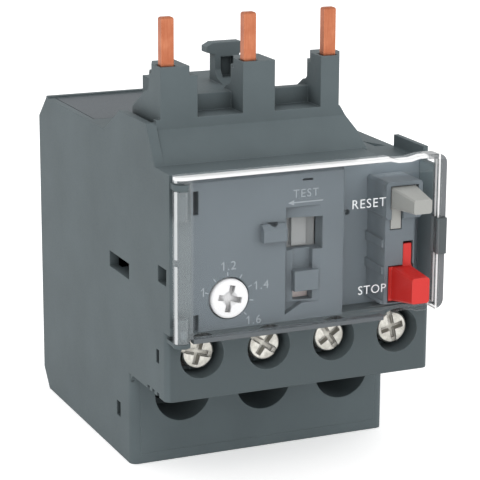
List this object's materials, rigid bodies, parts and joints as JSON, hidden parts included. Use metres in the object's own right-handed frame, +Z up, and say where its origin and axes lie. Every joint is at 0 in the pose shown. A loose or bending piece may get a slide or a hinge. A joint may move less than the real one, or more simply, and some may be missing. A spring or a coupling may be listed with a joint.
{
  "type": "thermal overload relay",
  "caption": "Motor overload relay with plug-in copper blades, clamp terminals, setting dial, test key, reset and stop buttons, and a hinged clear cover over the front.",
  "frame": {"origin": "on the resting face, midway across the width and midway between the back and the front of the reset knob", "axes": "+Z up along the copper blades, -Y towards the front with dial and buttons, +X to the right as seen from the front"},
  "size_m": [0.045, 0.0694, 0.0727],
  "materials": {
    "case_grey": "fine moulded grain",
    "panel_grey": "satin",
    "label": "smooth",
    "knob_grey": "satin",
    "stop_red": "satin",
    "spring_steel": "drawn wire",
    "dial_white": "satin",
    "inner_plastic": "plain",
    "bimetal": "rolled",
    "key_grey": "satin",
    "flag_pale": "satin",
    "contact_brass": "stamped",
    "clamp_steel": "dark plated",
    "clear_cover": "clear, polished",
    "tab_grey": "satin",
    "copper": "bright copper",
    "ribbon": "oxidised ribbon",
    "cage_steel": "zinc plated",
    "nickel": "nickel plated"
  },
  "bodies": {
    "case": {"case_shell": "case_grey", "load_shroud": "case_grey", "back_plate": "case_grey", "top_label": "label", "front_panel": "panel_grey", "button_housing": "panel_grey", "reset_spring": "spring_steel", "stop_spring": "spring_steel", "test_spring": "spring_steel", "bimetal_carrier": "inner_plastic", "bimetal_strip_1": "bimetal", "bimetal_strip_2": "bimetal", "bimetal_strip_3": "bimetal", "heater_winding_1": "ribbon", "heater_winding_2": "ribbon", "heater_winding_3": "ribbon", "line_blade_1": "copper", "line_blade_2": "copper", "line_blade_3": "copper", "load_terminal_1": "cage_steel", "load_terminal_2": "cage_steel", "load_terminal_3": "cage_steel", "aux_clamp_1": "clamp_steel", "aux_clamp_2": "clamp_steel", "aux_clamp_3": "clamp_steel", "aux_clamp_4": "clamp_steel"},
    "dial": {"setting_dial": "dial_white", "dial_cam": "inner_plastic"},
    "adjuster": {"adjust_lever": "inner_plastic", "compensating_strip": "bimetal"},
    "reset": {"reset_button": "knob_grey"},
    "stop": {"stop_button": "stop_red"},
    "test_key": {"test_slider": "key_grey"},
    "trip_bar": {"trip_slide": "inner_plastic"},
    "release_bar": {"release_slide": "inner_plastic"},
    "lever": {"trip_lever": "inner_plastic"},
    "flag": {"trip_flag": "flag_pale"},
    "no_contact": {"no_bridge": "contact_brass"},
    "nc_contact": {"nc_bridge": "contact_brass"},
    "cover": {"cover_flap": "clear_cover", "cover_tab": "tab_grey"},
    "load_screw_body_1": {"load_screw_1": "nickel"},
    "load_screw_body_2": {"load_screw_2": "nickel"},
    "load_screw_body_3": {"load_screw_3": "nickel"},
    "aux_screw_body_1": {"aux_screw_1": "nickel"},
    "aux_screw_body_2": {"aux_screw_2": "nickel"},
    "aux_screw_body_3": {"aux_screw_3": "nickel"},
    "aux_screw_body_4": {"aux_screw_4": "nickel"}
  },
  "joints": [
    {"name": "reset_press", "type": "slide", "parent": "case", "child": "reset", "axis": [0, 1, 0], "range_m": [0, 0.002], "stiffness_N_per_m": 350, "springref_m": -0.0006, "deforming": ["reset_spring"]},
    {"name": "stop_press", "type": "slide", "parent": "case", "child": "stop", "axis": [0, 1, 0], "range_m": [0, 0.002], "stiffness_N_per_m": 350, "springref_m": -0.0006, "deforming": ["stop_spring"]},
    {"name": "test_slide", "type": "slide", "parent": "case", "child": "test_key", "axis": [-1, 0, 0], "range_m": [0, 0.0012], "stiffness_N_per_m": 200, "springref_m": -0.0004, "deforming": ["test_spring"]},
    {"name": "dial_turn", "type": "hinge", "parent": "case", "child": "dial", "pos_m": [-0.01275, -0.02535, 0.0311], "axis": [0, 1, 0], "range_deg": [-105, 105]},
    {"name": "adjuster_turn", "type": "hinge", "parent": "case", "child": "adjuster", "pos_m": [-0.006, -0.01535, 0.0432], "axis": [0, 1, 0], "range_deg": [-2.45, 2.45]},
    {"name": "trip_slide_move", "type": "slide", "parent": "case", "child": "trip_bar", "axis": [-1, 0, 0], "range_m": [0, 0.0015], "stiffness_N_per_m": 120},
    {"name": "release_slide_move", "type": "slide", "parent": "case", "child": "release_bar", "axis": [-1, 0, 0], "range_m": [0, 0.0015]},
    {"name": "lever_turn", "type": "hinge", "parent": "case", "child": "lever", "pos_m": [0.0006, -0.00735, 0.037], "axis": [0, -1, 0], "range_deg": [0, 14.4]},
    {"name": "flag_move", "type": "slide", "parent": "case", "child": "flag", "axis": [1, 0, 0], "range_m": [0, 0.0019]},
    {"name": "no_contact_move", "type": "slide", "parent": "case", "child": "no_contact", "axis": [0, -1, 0], "range_m": [0, 0.0011]},
    {"name": "nc_contact_move", "type": "slide", "parent": "case", "child": "nc_contact", "axis": [0, 1, 0], "range_m": [0, 0.0011]},
    {"name": "cover_swing", "type": "hinge", "parent": "case", "child": "cover", "pos_m": [-0.0211, -0.027, 0.0263], "axis": [0, 0, -1], "range_deg": [0, 110]},
    {"name": "load_screw_turn_1", "type": "hinge", "parent": "case", "child": "load_screw_body_1", "pos_m": [-0.0136, 0.00165, 0.0112], "axis": [0, -1, 0], "continuous": true},
    {"name": "load_screw_turn_2", "type": "hinge", "parent": "case", "child": "load_screw_body_2", "pos_m": [0.0005, 0.00165, 0.0112], "axis": [0, -1, 0], "continuous": true},
    {"name": "load_screw_turn_3", "type": "hinge", "parent": "case", "child": "load_screw_body_3", "pos_m": [0.0146, 0.00165, 0.0112], "axis": [0, -1, 0], "continuous": true},
    {"name": "aux_screw_turn_1", "type": "hinge", "parent": "case", "child": "aux_screw_body_1", "pos_m": [-0.01665, -0.02135, 0.0222], "axis": [0, -1, 0], "continuous": true},
    {"name": "aux_screw_turn_2", "type": "hinge", "parent": "case", "child": "aux_screw_body_2", "pos_m": [-0.00555, -0.02135, 0.0222], "axis": [0, -1, 0], "continuous": true},
    {"name": "aux_screw_turn_3", "type": "hinge", "parent": "case", "child": "aux_screw_body_3", "pos_m": [0.00555, -0.02135, 0.0222], "axis": [0, -1, 0], "continuous": true},
    {"name": "aux_screw_turn_4", "type": "hinge", "parent": "case", "child": "aux_screw_body_4", "pos_m": [0.01665, -0.02135, 0.0222], "axis": [0, -1, 0], "continuous": true}
  ],
  "couplings": [
    {"joint": "adjuster_turn", "follows": "dial_turn", "ratio": -0.022857},
    {"joint": "lever_turn", "follows": "trip_slide_move", "rad_per_m": 166.3},
    {"joint": "flag_move", "follows": "trip_slide_move", "ratio": 1.266},
    {"joint": "release_slide_move", "follows": "trip_slide_move", "ratio": 1},
    {"joint": "no_contact_move", "follows": "trip_slide_move", "ratio": 0.733},
    {"joint": "nc_contact_move", "follows": "trip_slide_move", "ratio": 0.733}
  ]
}
